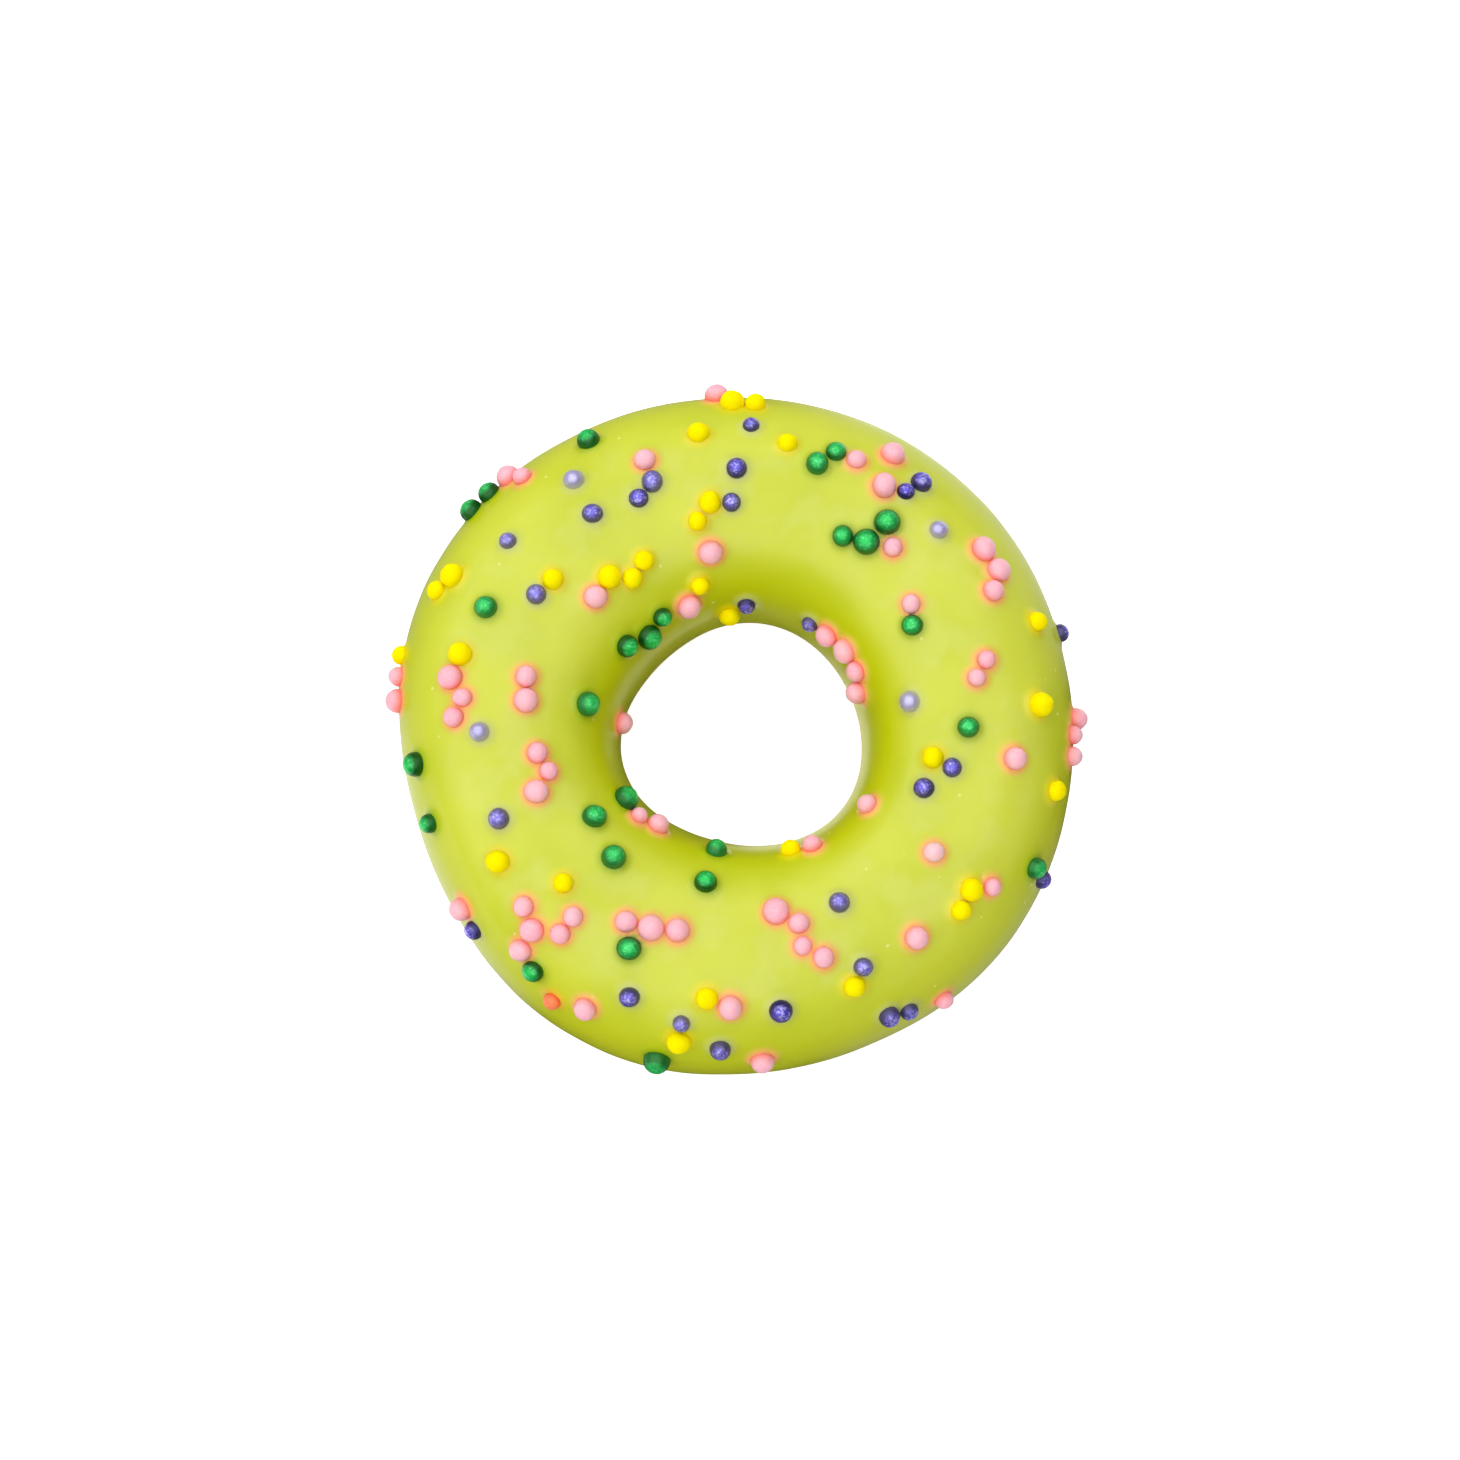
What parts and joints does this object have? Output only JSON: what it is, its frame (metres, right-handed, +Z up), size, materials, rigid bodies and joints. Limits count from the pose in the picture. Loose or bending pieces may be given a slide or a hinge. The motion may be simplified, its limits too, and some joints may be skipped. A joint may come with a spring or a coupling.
{
  "type": "glazed mini doughnut",
  "caption": "Small ring doughnut with a smooth lime glaze over its top and sides, strewn with round sugar pearls, on a bare fried underside.",
  "frame": {"origin": "middle of the doughnut's box, at the flat of its underside", "axes": "+Z up through the hole, +Y towards the far side of the ring as it is pictured, +X to its right"},
  "size_m": [0.0614, 0.0608, 0.0202],
  "materials": {
    "crust": "fried crust, dry and matte",
    "glaze": "set lime glaze, soft gloss",
    "pearl_pink": "sugar pearl with a soft pearl sheen",
    "pearl_violet": "sugar pearl with a speckled pearl sheen",
    "pearl_green": "sugar pearl with a speckled pearl sheen",
    "pearl_yellow": "matte sugar pearl",
    "pearl_orange": "sugar pearl with a soft pearl sheen"
  },
  "bodies": {
    "root": {"dough": "crust", "icing": "glaze"}
  },
  "joints": []
}
